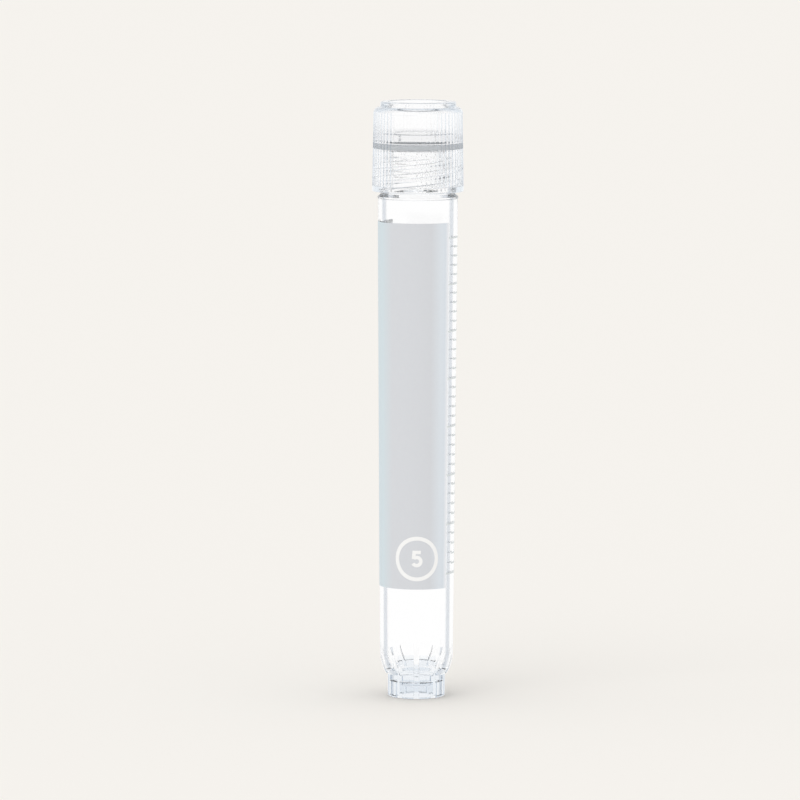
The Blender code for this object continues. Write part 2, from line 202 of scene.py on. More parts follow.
@dataclass(frozen=True)
class ClearPolypropylene:
    """Natural clear polypropylene, injection moulded and polished by its mould.

    To the eye it is water-clear with a faint blue-grey where one looks through more of it, and slightly
    uneven from the flow of the melt. Its colour is darkened where the wall turns away from the view and
    lightened again where it is seen along its surface: painted shade and painted light that stand in for the
    lines that refraction draws there.

    Attributes:
        name: the material's name.
        face: colour where the wall faces the eye.
        edge: painted shade where the wall turns away from the view.
        rim: colour where it is seen along its surface, painted lighter again past the painted shade.
        rim: colour where it is seen along its surface.
        edge_from: share of turning away at which the painted edge shade begins to come in.
        edge_to: share at which it begins to give way to the rim colour.
        edge_soft: share over which each of the two changes runs.
        roughness: mean roughness. It varies by half of itself with the flow.
        flow_mm: size of the flow marks.
        skin_high: radius in millimetres outside which the painted edge shade shows, above `split`.
        skin_low: the same radius below `split`.
        split: height in millimetres between the two.
        thick: colour laid over the others where the plastic is thick.
        thick_low: height in millimetres at which the thick part starts.
        thick_high: height at which it ends.
        transmission: share of the light that goes through.
        ior: index of refraction.
        relief: strength of the flow marks' relief.
        relief_mm: its depth.
    """

    name: str
    face: str
    edge: str
    rim: str
    edge_from: float
    edge_to: float
    edge_soft: float
    roughness: float
    flow_mm: float
    skin_high: float
    skin_low: float
    split: float
    thick: str
    thick_low: float
    thick_high: float
    transmission: float = 1.0
    ior: float = 1.49
    relief: float = 0.12
    relief_mm: float = 0.02

    def build(self) -> bpy.types.Material:
        """Make the material.

        Returns:
            The new material.
        """
        made, sums, shader, where = new_finish(self.name)
        tree = sums.tree
        # Painted shade: Layer Weight darkens the colour to `edge` where the wall turns away from the view,
        # and lightens it to `rim` towards the silhouette, on the outer skin only.
        facing = node(tree, "ShaderNodeLayerWeight", {"Blend": 0.5}).outputs["Facing"]
        x, y, z = node(tree, "ShaderNodeSeparateXYZ", {"Vector": where}).outputs
        high = sums.do("GREATER_THAN", z, self.split * MM)
        skin = sums.do("MULTIPLY_ADD", high, (self.skin_high - self.skin_low) * MM, self.skin_low * MM)
        facing = sums.do("MULTIPLY", facing, sums.do("GREATER_THAN", sums.radius(x, y), skin))
        ramp = node(tree, "ShaderNodeValToRGB", {"Fac": facing})
        stops = ramp.color_ramp.elements
        stops[0].position, stops[0].color = self.edge_from, linear(self.face)
        stops[1].position, stops[1].color = self.edge_to + self.edge_soft, linear(self.rim)
        for position in (self.edge_from + self.edge_soft, self.edge_to):
            stops.new(position).color = linear(self.edge)
        inside = sums.within(z, self.thick_low * MM, self.thick_high * MM)
        colour = node(tree, "ShaderNodeMix", {"Factor": inside, 6: ramp.outputs["Color"],
                                              7: linear(self.thick)}, data_type="RGBA",
                      blend_type="MULTIPLY").outputs[2]
        flow = node(tree, "ShaderNodeTexNoise", {"Vector": where, "Scale": 1.0 / (self.flow_mm * MM),
                                                 "Detail": 2.0, "Roughness": 0.4})
        rough = sums.do("MULTIPLY_ADD", flow.outputs["Fac"], self.roughness, self.roughness * 0.5)
        bump = node(tree, "ShaderNodeBump", {"Height": flow.outputs["Fac"], "Strength": self.relief,
                                             "Distance": self.relief_mm * MM})
        feed(shader, {"Base Color": colour, "Roughness": rough, "Normal": bump.outputs["Normal"],
                      "IOR": self.ior, "Transmission Weight": self.transmission})
        return made


@dataclass(frozen=True)
class ScreenPrint:
    """Ink screen printed on the tube: matte, opaque from outside, with the fine mottle of the screen's mesh.

    Seen from the axis, through the wall, it is paler and lets some light through, as a thin print does.

    Attributes:
        name: the material's name.
        colour: the ink's colour.
        mottle: colour that it is mottled with.
        grain_mm: size of the mottle.
        roughness: roughness, the same all over.
        underside: colour seen from the axis.
        thinness: share of the light that comes through as seen from the axis.
        painted_light_by_bearing: bearings in degrees with the colour laid over the ink at each, blended
            between them: painted light and painted shade that change round the tube, not a tone of the ink.
        ior: index of refraction.
        gloss: specular level.
        relief: strength of the mottle's relief.
        relief_mm: its depth.
    """

    name: str
    colour: str
    mottle: str
    grain_mm: float
    roughness: float
    underside: str = "#FFFFFF"
    thinness: float = 0.7
    painted_light_by_bearing: tuple[tuple[float, str], ...] = ()
    ior: float = 1.5
    gloss: float = 0.25
    relief: float = 0.25
    relief_mm: float = 0.01

    def build(self) -> bpy.types.Material:
        """Make the material.

        Returns:
            The new material.
        """
        made, sums, shader, where = new_finish(self.name)
        tree = sums.tree
        grain = node(tree, "ShaderNodeTexNoise", {"Vector": where, "Scale": 1.0 / (self.grain_mm * MM),
                                                  "Detail": 3.0}).outputs["Fac"]
        colour = node(tree, "ShaderNodeMix", {"Factor": grain, 6: linear(self.colour),
                                              7: linear(self.mottle)}, data_type="RGBA").outputs[2]
        x, y, _ = node(tree, "ShaderNodeSeparateXYZ", {"Vector": where}).outputs
        # Painted light and shade: the colours laid over the ink by bearing make it lighter or darker round
        # the tube, standing in for light and not for the ink's own tone.
        if self.painted_light_by_bearing:
            turn = sums.do("MULTIPLY_ADD", sums.bearing(x, y), 1.0 / math.tau, 0.5)
            ramp = node(tree, "ShaderNodeValToRGB", {"Fac": turn})
            stops = ramp.color_ramp.elements
            for stop, (degrees, painted_tone) in zip(stops, (self.painted_light_by_bearing[0], self.painted_light_by_bearing[-1])):
                stop.position, stop.color = degrees / 360.0 + 0.5, linear(painted_tone)
            for degrees, painted_tone in self.painted_light_by_bearing[1:-1]:
                stops.new(degrees / 360.0 + 0.5).color = linear(painted_tone)
            colour = node(tree, "ShaderNodeMix", {"Factor": 1.0, 6: colour, 7: ramp.outputs["Color"]},
                          data_type="RGBA", blend_type="MULTIPLY").outputs[2]
        nx, ny, _ = node(tree, "ShaderNodeSeparateXYZ",
                         {"Vector": node(tree, "ShaderNodeNewGeometry").outputs["Normal"]}).outputs
        outward = sums.do("MULTIPLY_ADD", nx, x, sums.do("MULTIPLY", ny, y))
        under = sums.do("LESS_THAN", outward, 0.0)
        colour = node(tree, "ShaderNodeMix", {"Factor": under, 6: colour, 7: linear(self.underside)},
                      data_type="RGBA").outputs[2]
        bump = node(tree, "ShaderNodeBump", {"Height": grain, "Strength": self.relief,
                                             "Distance": self.relief_mm * MM})
        feed(shader, {"Base Color": colour, "Transmission Weight": sums.do("MULTIPLY", under, self.thinness),
                      "Normal": bump.outputs["Normal"], "Roughness": self.roughness, "IOR": self.ior,
                      "Specular IOR Level": self.gloss})
        return made


@dataclass(frozen=True)
class Silicone:
    """Pale silicone rubber, compression moulded: dull, with faint rings from the turned mould.

    Attributes:
        name: the material's name.
        colour: the rubber's colour.
        shade: colour in the rings' hollows.
        ring_mm: distance from ring to ring.
        waver: how far the rings stray from round.
        roughness: roughness, the same all over.
        ior: index of refraction.
        relief: strength of the rings' relief.
        relief_mm: its depth.
    """

    name: str
    colour: str
    shade: str
    ring_mm: float
    waver: float = 0.6
    roughness: float = 0.6
    ior: float = 1.43
    relief: float = 0.1
    relief_mm: float = 0.01

    def build(self) -> bpy.types.Material:
        """Make the material.

        Returns:
            The new material.
        """
        made, sums, shader, where = new_finish(self.name)
        tree = sums.tree
        wave = node(tree, "ShaderNodeTexWave", {"Vector": where, "Scale": WAVE_LENGTH / (self.ring_mm * MM),
                                                "Distortion": self.waver}, wave_type="RINGS",
                    rings_direction="Z").outputs["Fac"]
        colour = node(tree, "ShaderNodeMix", {"Factor": wave, 6: linear(self.colour),
                                              7: linear(self.shade)}, data_type="RGBA").outputs[2]
        bump = node(tree, "ShaderNodeBump", {"Height": wave, "Strength": self.relief,
                                             "Distance": self.relief_mm * MM})
        feed(shader, {"Base Color": colour, "Normal": bump.outputs["Normal"], "Roughness": self.roughness,
                      "IOR": self.ior})
        return made


# ---- Meshes


def arc(middle: Point, radius_r: float, radius_z: float, start: float, end: float,
        steps: int) -> list[Point]:
    """Points of an elliptic arc in a turned section.

    Args:
        middle: its centre as (r, z).
        radius_r: its half-width across.
        radius_z: its half-height.
        start: its first angle in degrees.
        end: its last angle in degrees.
        steps: how many chords it has.

    Returns:
        The points, both ends included.
    """
    points = []
    for step in range(steps + 1):
        angle = math.radians(start + (end - start) * step / steps)
        points.append((middle[0] + radius_r * math.cos(angle), middle[1] + radius_z * math.sin(angle)))
    return points


def line(start: Point, end: Point, steps: int) -> list[Point]:
    """Points of a straight run in a turned section, both ends included."""
    return [(start[0] + (end[0] - start[0]) * i / steps, start[1] + (end[1] - start[1]) * i / steps)
            for i in range(steps + 1)]


@dataclass
class Helix:
    """Rows of a turned mesh that climb with a thread between two heights."""

    first: int
    last: int
    low: float
    high: float
    lead: float


@dataclass
class Turning:
    """A section turned about the Z axis into one closed surface."""

    name: str
    section: list[Point]
    bearings: np.ndarray
    closed: bool = False
    helix: Helix | None = None

    def grid(self) -> np.ndarray:
        """Radius, bearing and height of every point, one row for each point of the section."""
        rows = np.array(self.section + self.section[:1] if self.closed else self.section)
        bearings = np.broadcast_to(self.bearings, (len(rows), self.bearings.shape[-1]))
        made = np.empty((*bearings.shape, 3))
        made[..., 0] = rows[:, None, 0]
        made[..., 1] = bearings
        made[..., 2] = rows[:, None, 1]
        if self.helix is not None:
            band = made[self.helix.first:self.helix.last]
            climbed = band[..., 2] + self.helix.lead * band[..., 1] / math.tau
            band[..., 2] = np.clip(climbed, self.helix.low, self.helix.high)
        return made

    def mesh(self, grid: np.ndarray | None = None) -> bpy.types.Mesh:
        """Turn the section into a mesh. The last bearing meets the first, and the seam is welded.

        Args:
            grid: radius, bearing and height of every point, where they aren't the plain ones.

        Returns:
            The closed mesh, its faces outwards and its hard edges marked.
        """
        grid = self.grid() if grid is None else grid
        radius, bearing, height = grid[..., 0], grid[..., 1], grid[..., 2]
        points = np.stack([radius * np.sin(bearing), -radius * np.cos(bearing), height], axis=-1)
        index = np.arange(points.shape[0] * points.shape[1]).reshape(points.shape[:2])
        faces = np.stack([index[:-1, :-1], index[:-1, 1:], index[1:, 1:], index[1:, :-1]], axis=-1)
        made = bpy.data.meshes.new(self.name)
        made.from_pydata(points.reshape(-1, 3).tolist(), [], faces.reshape(-1, 4).tolist())
        bm = bmesh.new()
        bm.from_mesh(made)
        bmesh.ops.remove_doubles(bm, verts=bm.verts, dist=1e-7)
        bm.to_mesh(made)
        bm.free()
        outwards(made)
        return made


def outwards(mesh: bpy.types.Mesh, hard: float = 32.0) -> None:
    """Turn a closed mesh's faces outwards, shade it smooth and mark its hard edges.

    Args:
        mesh: the mesh.
        hard: the least angle of a hard edge in degrees.
    """
    mesh.update()
    mesh.validate()
    mesh.calc_loop_triangles()
    corners = np.empty(len(mesh.loop_triangles) * 3, np.int32)
    mesh.loop_triangles.foreach_get("vertices", corners)
    where = np.empty(len(mesh.vertices) * 3)
    mesh.vertices.foreach_get("co", where)
    a, b, c = where.reshape(-1, 3)[corners.reshape(-1, 3)].transpose(1, 0, 2)
    if np.einsum("ij,ij->i", a, np.cross(b, c)).sum() < 0:
        mesh.flip_normals()
    mesh.shade_smooth()
    mesh.set_sharp_from_angle(angle=math.radians(hard))


def new_object(mesh: bpy.types.Mesh, *materials: bpy.types.Material) -> bpy.types.Object:
    """Put a mesh in the scene at the origin, with its materials."""
    made = bpy.data.objects.new(mesh.name, mesh)
    bpy.context.scene.collection.objects.link(made)
    for material in materials:
        mesh.materials.append(material)
    return made


def dressed(mesh: bpy.types.Mesh, name: str, plastic: bpy.types.Material) -> bpy.types.Object:
    """Put a cut mesh in the scene, its faces outwards.

    Args:
        mesh: the mesh that the Geometry Nodes gave.
        name: the piece's name.
        plastic: its one material.

    Returns:
        The piece.
    """
    mesh.name = name
    outwards(mesh)
    mesh.materials.clear()
    return new_object(mesh, plastic)


def finish(piece: bpy.types.Object, body: Body, slot: Slot, *replaced: str) -> None:
    """Put a piece on its body, hide the CAD nodes that it stands for, and report it.

    Args:
        piece: the finished piece.
        body: the body that it rides on.
        slot: the record's material slot. Not used.
        replaced: names of CAD nodes.
    """
    if replaced:
        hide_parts(*replaced)
    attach(piece, body.value)
    triangles = sum(len(face.vertices) - 2 for face in piece.data.polygons)
    LOG.info("%s: %d triangles, rides on %s", piece.name, triangles, body.value)


# ---- Geometry Nodes


@dataclass
class Rule:
    """A Geometry Nodes tree with named inputs, and the values that a piece gives them."""

    name: str
    values: dict[str, float]
    tree: bpy.types.NodeTree = field(init=False)
    source: bpy.types.Node = field(init=False)
    sums: Sums = field(init=False)
    keys: dict[str, str] = field(init=False)

    def __post_init__(self) -> None:
        """Make the empty tree and its inputs."""
        self.tree = bpy.data.node_groups.new(self.name, "GeometryNodeTree")
        face = self.tree.interface
        face.new_socket("Geometry", in_out="INPUT", socket_type="NodeSocketGeometry")
        self.keys = {}
        for name in self.values:
            socket = face.new_socket(name, in_out="INPUT", socket_type="NodeSocketFloat")
            self.keys[name] = socket.identifier
        socket = face.new_socket("Material", in_out="INPUT", socket_type="NodeSocketMaterial")
        self.keys["Material"] = socket.identifier
        face.new_socket("Geometry", in_out="OUTPUT", socket_type="NodeSocketGeometry")
        self.source = node(self.tree, "NodeGroupInput")
        self.sums = Sums(self.tree)

    def take(self, name: str) -> bpy.types.NodeSocket:
        """The socket of a named input."""
        return self.source.outputs[name]

    def polar(self) -> tuple[bpy.types.NodeSocket, bpy.types.NodeSocket, bpy.types.NodeSocket]:
        """Radius, bearing and height of the point that is worked on."""
        axes = node(self.tree, "ShaderNodeSeparateXYZ",
                    {0: node(self.tree, "GeometryNodeInputPosition").outputs[0]})
        x, y, z = axes.outputs
        return self.sums.radius(x, y), self.sums.bearing(x, y), z

    def push(self, geometry: bpy.types.NodeSocket, bearing: Value, amount: Value) -> bpy.types.NodeSocket:
        """Move points away from the axis by an amount of their own.

        Args:
            geometry: the geometry's socket.
            bearing: the points' bearing.
            amount: how far each goes out.

        Returns:
            The moved geometry's socket.
        """
        across = self.sums.do("MULTIPLY", amount, self.sums.do("SINE", bearing))
        back = self.sums.do("MULTIPLY", self.sums.do("MULTIPLY", amount, -1.0),
                            self.sums.do("COSINE", bearing))
        offset = node(self.tree, "ShaderNodeCombineXYZ", {"X": across, "Y": back})
        return node(self.tree, "GeometryNodeSetPosition",
                    {"Geometry": geometry, "Offset": offset.outputs[0]}).outputs[0]

    def end(self, geometry: bpy.types.NodeSocket) -> None:
        """Close the tree: instances made real, the material set, the result sent out."""
        real = node(self.tree, "GeometryNodeRealizeInstances", {0: geometry})
        dressed = node(self.tree, "GeometryNodeSetMaterial",
                       {"Geometry": real.outputs[0], "Material": self.take("Material")})
        node(self.tree, "NodeGroupOutput", {0: dressed.outputs[0]})

    def apply(self, mesh: bpy.types.Mesh, material: bpy.types.Material) -> bpy.types.Mesh:
        """Run the tree on a mesh.

        Args:
            mesh: the plain mesh.
            material: the material that the tree sets.

        Returns:
            A new plain mesh.
        """
        holder = bpy.data.objects.new(mesh.name, mesh)
        bpy.context.scene.collection.objects.link(holder)
        modifier = holder.modifiers.new(self.name, "NODES")
        modifier.node_group = self.tree
        for name, value in self.values.items():
            modifier[self.keys[name]] = float(value)
        modifier[self.keys["Material"]] = material
        graph = bpy.context.evaluated_depsgraph_get()
        made = bpy.data.meshes.new_from_object(holder.evaluated_get(graph), depsgraph=graph)
        holder.modifiers.remove(modifier)
        bpy.data.objects.remove(holder)
        return made


@dataclass
class Thread:
    """A multi-start helical ridge on a turned wall.

    Attributes:
        name: the name of its tree.
        wall: radius of the wall that it stands on.
        depth: how far it stands out, negative where it stands inwards.
        root_width: its width at the wall.
        crest_width: its width at the crest.
        top: height at which it ends.
        base: height at which it starts.
        helix_top: height of one ridge's middle at bearing 0.
        lead: rise in one turn.
        starts: how many ridges there are.
        fade: angle in degrees over which each end fades.
        end_share: share of its section that is left at the very end.
        crest_row: place of the mesh row on the crest, as a share of half the crest.
        flank_rows: places of the rows on a flank, as shares of the way from crest to root.
        wall_slack: how far from the wall's radius a point may be and still be raised.
        least_flank: the least width of a flank, so that nothing is divided by zero.
        least_travel: angle in radians past an end up to which a point still counts as on the ridge.
    """

    name: str
    wall: float
    depth: float
    root_width: float
    crest_width: float
    top: float
    base: float
    helix_top: float
    lead: float = 4.0 * MM
    starts: float = 2.0
    fade: float = 40.0
    end_share: float = 0.15
    crest_row: float = 0.6
    flank_rows: tuple[float, ...] = (0.0, 0.25, 0.5, 0.75, 1.0)
    wall_slack: float = 0.05 * MM
    least_flank: float = 1e-6
    least_travel: float = -1e-4

    def rows(self, low: float, high: float, bearings: np.ndarray) -> list[float]:
        """Heights at bearing 0 of mesh rows that follow the ridges, gathered at their flanks.

        Args:
            low: the wall's lower end.
            high: its upper end.
            bearings: bearings of the mesh's points, in order.

        Returns:
            The heights, rising.
        """
        pitch = self.lead / self.starts
        crest, root = self.crest_width / 2, self.root_width / 2
        side = [crest * self.crest_row] + [crest + (root - crest) * share for share in self.flank_rows]
        gap = (pitch / 2 - root) / 2
        offsets = sorted([-value for value in side] + [0.0] + side + [root + gap, -root - gap])
        first = low - self.lead * float(bearings.max()) / math.tau
        last = high - self.lead * float(bearings.min()) / math.tau
        turns = range(math.floor((first - self.helix_top) / pitch) - 1,
                      math.ceil((last - self.helix_top) / pitch) + 2)
        return [self.helix_top + turn * pitch + offset for turn in turns for offset in offsets]

    def cut(self, mesh: bpy.types.Mesh, material: bpy.types.Material) -> bpy.types.Mesh:
        """Raise the ridges on a mesh whose wall is fine enough.

        Args:
            mesh: the turned mesh.
            material: its material.

        Returns:
            The threaded mesh.
        """
        rule = Rule(self.name, {
            "Wall Radius": self.wall, "Depth": self.depth, "Root Width": self.root_width,
            "Crest Width": self.crest_width, "Top": self.top, "Base": self.base,
            "Helix Height": self.helix_top, "Lead": self.lead, "Starts": self.starts,
            "Fade Angle": math.radians(self.fade), "End Share": self.end_share})
        sums = rule.sums
        radius, bearing, height = rule.polar()
        turn_rise = sums.do("DIVIDE", rule.take("Lead"), math.tau)
        pitch = sums.do("DIVIDE", rule.take("Lead"), rule.take("Starts"))
        helix = sums.do("MULTIPLY_ADD", bearing, turn_rise, rule.take("Helix Height"))
        off = sums.do("SUBTRACT", height, helix)
        turns = sums.do("ROUND", sums.do("DIVIDE", off, pitch))
        off = sums.do("SUBTRACT", off, sums.do("MULTIPLY", turns, pitch))
        middle = sums.do("SUBTRACT", height, off)
        from_base = sums.do("DIVIDE", sums.do("SUBTRACT", middle, rule.take("Base")), turn_rise)
        from_top = sums.do("DIVIDE", sums.do("SUBTRACT", rule.take("Top"), middle), turn_rise)
        travel = sums.do("MINIMUM", from_base, from_top)
        share = sums.clamp(sums.do("DIVIDE", travel, rule.take("Fade Angle")))
        share = sums.do("MULTIPLY_ADD", share, sums.do("SUBTRACT", 1.0, rule.take("End Share")),
                        rule.take("End Share"))
        share = sums.do("MULTIPLY", share, sums.do("GREATER_THAN", travel, self.least_travel))
        half_crest = sums.do("MULTIPLY", rule.take("Crest Width"), sums.do("MULTIPLY", share, 0.5))
        half_root = sums.do("MULTIPLY", rule.take("Root Width"), sums.do("MULTIPLY", share, 0.5))
        flank = sums.do("MAXIMUM", sums.do("SUBTRACT", half_root, half_crest), self.least_flank)
        up = sums.do("DIVIDE", sums.do("SUBTRACT", half_root, sums.do("ABSOLUTE", off)), flank)
        up = sums.smooth(up)
        from_wall = sums.do("ABSOLUTE", sums.do("SUBTRACT", radius, rule.take("Wall Radius")))
        on_wall = sums.do("LESS_THAN", from_wall, self.wall_slack)
        amount = sums.do("MULTIPLY", sums.do("MULTIPLY", rule.take("Depth"), share),
                         sums.do("MULTIPLY", up, on_wall))
        rule.end(rule.push(rule.take("Geometry"), bearing, amount))
        return rule.apply(mesh, material)


@dataclass
class Grip:
    """Fine upright ribs round the cap in groups, with a smooth sunk panel between the groups.

    Attributes:
        bottom: height at which the grooves start.
        top: height at which they end.
        inside: radius inside which nothing is cut.
        pitch: angle from rib to rib, in degrees as all angles here.
        depth: depth of grooves and panels.
        floor_half: half the angle of a groove's flat floor.
        mouth_half: half the angle of its mouth.
        panels: how many panels there are.
        panel_pitches: how many pitches of ribs a panel takes the place of.
        panel_floor_half: half the angle of a panel's floor.
        panel_right: bearing at which the first group of ribs starts.
        panel_drop: how far a panel ends below the grooves.
    """

    bottom: float
    top: float
    inside: float
    pitch: float = 6.0
    depth: float = 0.13 * MM
    floor_half: float = 0.0
    mouth_half: float = 2.9
    panels: float = 3.0
    panel_pitches: float = 6.0
    panel_floor_half: float = 15.0
    panel_right: float = 0.0
    panel_drop: float = 0.3 * MM

    def cut(self, mesh: bpy.types.Mesh, material: bpy.types.Material) -> bpy.types.Mesh:
        """Sink the grooves and panels into the cap's outside.

        Args:
            mesh: the turned cap.
            material: its material.

        Returns:
            The ribbed mesh.
        """
        rule = Rule("cap_grip", {
            "Bottom": self.bottom, "Top": self.top, "Inside Radius": self.inside,
            "Pitch": math.radians(self.pitch), "Depth": self.depth,
            "Floor Half Angle": math.radians(self.floor_half),
            "Mouth Half Angle": math.radians(self.mouth_half), "Panels": self.panels,
            "Panel Pitches": self.panel_pitches,
            "Panel Floor Half Angle": math.radians(self.panel_floor_half),
            "Panel Right": math.radians(self.panel_right), "Panel Drop": self.panel_drop})
        sums = rule.sums
        radius, bearing, height = rule.polar()
        third = sums.do("DIVIDE", math.tau, rule.take("Panels"))
        along = sums.do("FLOORED_MODULO", sums.do("SUBTRACT", bearing, rule.take("Panel Right")), third)
        panel_angle = sums.do("MULTIPLY", rule.take("Pitch"), rule.take("Panel Pitches"))
        ribs_end = sums.do("SUBTRACT", third, panel_angle)
        flare = sums.do("SUBTRACT", rule.take("Mouth Half Angle"), rule.take("Floor Half Angle"))
        in_pitch = sums.do("FLOORED_MODULO", along, rule.take("Pitch"))
        from_middle = sums.do("ABSOLUTE", sums.do("SUBTRACT", in_pitch,
                                                  sums.do("MULTIPLY", rule.take("Pitch"), 0.5)))
        groove = sums.smooth(sums.do("DIVIDE", sums.do("SUBTRACT", rule.take("Mouth Half Angle"),
                                                       from_middle), flare))
        groove = sums.do("MULTIPLY", groove, sums.do("LESS_THAN", along, ribs_end))
        centre = sums.do("SUBTRACT", third, sums.do("MULTIPLY", panel_angle, 0.5))
        from_centre = sums.do("ABSOLUTE", sums.do("SUBTRACT", along, centre))
        reach = sums.do("ADD", rule.take("Panel Floor Half Angle"), flare)
        panel = sums.smooth(sums.do("DIVIDE", sums.do("SUBTRACT", reach, from_centre), flare))
        panel_top = sums.do("SUBTRACT", rule.take("Top"), rule.take("Panel Drop"))
        panel = sums.do("MULTIPLY", panel, sums.do("LESS_THAN", height, panel_top))
        share = sums.do("MAXIMUM", groove, panel)
        share = sums.do("MULTIPLY", share, sums.within(height, rule.take("Bottom"), rule.take("Top")))
        share = sums.do("MULTIPLY", share, sums.do("GREATER_THAN", radius, rule.take("Inside Radius")))
        amount = sums.do("MULTIPLY", sums.do("MULTIPLY", share, -1.0), rule.take("Depth"))
        rule.end(rule.push(rule.take("Geometry"), bearing, amount))
        return rule.apply(mesh, material)


# ---- The tube


@dataclass
class TubeBody:
    """Drafted clear tube with a dome bottom, a star foot, a collar bead and a threaded neck."""

    finish: ClearPolypropylene
    height: float = 84.55 * MM
    radius: float = 6.12 * MM
    wall: float = 0.92 * MM
    draft: float = math.radians(0.4)
    rim: float = 0.18 * MM
    collar: float = 77.3 * MM
    collar_proud: float = 0.1 * MM
    collar_half: float = 0.2 * MM
    neck: float = 5.7 * MM
    chamfer: float = 0.4 * MM
    dome_start: float = 6.8 * MM
    dome_curve: float = 6.0 * MM
    bore_dome: float = 7.0 * MM
    bore_power: float = 2.8
    cavity_top: float = 1.4 * MM
    floor: float = 1.9 * MM
    foot_height: float = 3.6 * MM
    foot: float = 4.42 * MM
    foot_edge: float = 0.35 * MM
    cavity: float = 2.92 * MM
    cavity_side: float = 2.3 * MM
    flutes: int = 10
    flute_width: float = 0.85 * MM
    flute_depth: float = 0.55 * MM
    flute_tip: float = 7.1 * MM
    flute_ramp: float = 3.3 * MM
    flute_most: float = 13.0
    flute_inner: float = 1.2 * MM
    flute_columns: tuple[float, ...] = (0.0, 0.25, 0.5, 0.75, 0.985)
    flute_beside: float = 1.015
    land_columns: int = 11
    bore_steps: int = 30
    thread_drop: float = 0.84 * MM
    thread_rise: float = 0.9 * MM
    thread: Thread = field(init=False)
    helix: Helix = field(init=False)

    def __post_init__(self) -> None:
        """Work out the neck's thread from the tube's height."""
        top = self.height - self.thread_drop
        self.thread = Thread("neck_thread", wall=self.neck, depth=0.3 * MM, root_width=1.0 * MM,
                             crest_width=0.5 * MM, top=top, helix_top=top,
                             base=self.collar + self.collar_half + self.thread_rise)

    def outside(self, z: float) -> float:
        """Outside radius of the drafted wall at a height."""
        return self.radius - (self.collar - self.collar_half - z) * math.tan(self.draft)

    def bore(self, z: float) -> float:
        """Inside radius at a height."""
        return self.outside(z) - self.wall

    def bore_bottom(self) -> list[Point]:
        """The flattened round bottom of the bore, from the axis out to the straight wall."""
        floor = self.cavity_top + self.floor
        top = floor + self.bore_dome
        full = self.bore(top)
        power = 2.0 / self.bore_power
        points = [(0.0, floor)]
        for step in range(1, self.bore_steps + 1):
            angle = math.radians(90.0) * step / self.bore_steps
            points.append((full * math.sin(angle) ** power, top - self.bore_dome * math.cos(angle) ** power))
        return points

    def section(self) -> list[Point]:
        """Half section: up the bore, over the rim, down the outside and under the foot."""
        rim, top = self.rim, self.height
        bore_top = self.bore(top)
        under, over = self.collar - self.collar_half, self.collar + self.collar_half
        points = self.bore_bottom()
        points += line(points[-1], (bore_top, top - rim), 6)[1:]
        points += arc((bore_top + rim, top - rim), rim, rim, 180.0, 90.0, 6)[1:]
        points += arc((self.neck - rim, top - rim), rim, rim, 90.0, 0.0, 6)
        low, high = over + self.chamfer, top - rim
        heights = self.thread.rows(low, high, self.columns())
        self.helix = Helix(len(points), len(points) + len(heights), low, high, self.thread.lead)
        points += [(self.neck, z) for z in reversed(heights)]
        points += line((self.neck, low), (self.radius, over), 2)
        points += arc((self.radius, self.collar), self.collar_proud, self.collar_half, 90.0, -90.0, 20)[1:]
        points += line((self.radius, under), (self.outside(self.flute_tip), self.flute_tip), 12)[1:]
        sweep = math.degrees(math.asin((self.dome_start - self.foot_height) / self.dome_curve))
        points += arc((self.outside(self.dome_start) - self.dome_curve, self.dome_start),
                      self.dome_curve, self.dome_curve, 0.0, -sweep, 16)
        points += [(self.foot, self.foot_height)]
        points += line((self.foot, self.flute_ramp), (self.foot, self.foot_edge), 3)
        points += arc((self.foot - self.foot_edge, self.foot_edge), self.foot_edge, self.foot_edge,
                      0.0, -90.0, 6)[1:]
        points += [(self.cavity, 0.0)]
        points += arc((0.0, self.cavity_side), self.cavity, self.cavity_side - self.cavity_top,
                      0.0, -90.0, 16)
        return points

    def columns(self) -> np.ndarray:
        """Bearings of the points round the straight wall."""
        return self.flute_bearings(np.array([self.radius]))[0][0]

    def flute_bearings(self, radii: np.ndarray) -> tuple[np.ndarray, np.ndarray]:
        """Bearings of the points round each row, gathered at the flutes' upright sides.

        Args:
            radii: the rows' radii.

        Returns:
            The bearings, row by row, and a mask that is true in the flutes' columns.
        """
        inside = np.array(self.flute_columns)
        outside = np.linspace(0.0, 1.0, self.land_columns + 1)[:-1]
        half = np.arcsin(self.flute_width / 2 / np.maximum(radii, self.flute_inner))[:, None]
        half = np.minimum(half, math.radians(self.flute_most))
        step = math.pi / self.flutes
        beside = self.flute_beside * half
        right = np.concatenate([inside * half, beside + outside * (step - beside)], axis=1)
        flags = np.arange(len(inside) + len(outside)) < len(inside)
        sector = np.concatenate([np.full((len(radii), 1), -step), -right[:, :0:-1], right], axis=1)
        mask = np.concatenate([[False], flags[:0:-1], flags])
        turns = [sector + 2 * step * flute for flute in range(self.flutes)]
        turns.append(np.full((len(radii), 1), math.tau - step))
        return np.concatenate(turns, axis=1), np.append(np.tile(mask, self.flutes), False)

    def mesh(self) -> bpy.types.Mesh:
        """Turn the section and sink the foot's flutes into it."""
        section = self.section()
        radii = np.array([point[0] for point in section])
        bearings, in_flute = self.flute_bearings(radii)
        turning = Turning("tube_turning", section, bearings, helix=self.helix)
        grid = turning.grid()
        height = grid[..., 2]
        slope = np.clip((height - self.flute_ramp) / (self.flute_tip - self.flute_ramp), 0.0, 1.0)
        root = self.foot - self.flute_depth
        limit = root + slope * (self.outside(self.flute_tip) - root)
        outer = np.arange(len(section))[:, None] > int(np.argmax(radii))
        sunk = outer & in_flute[None, :] & (height < self.flute_tip)
        grid[..., 0] = np.where(sunk, np.minimum(grid[..., 0], limit), grid[..., 0])
        return turning.mesh(grid)

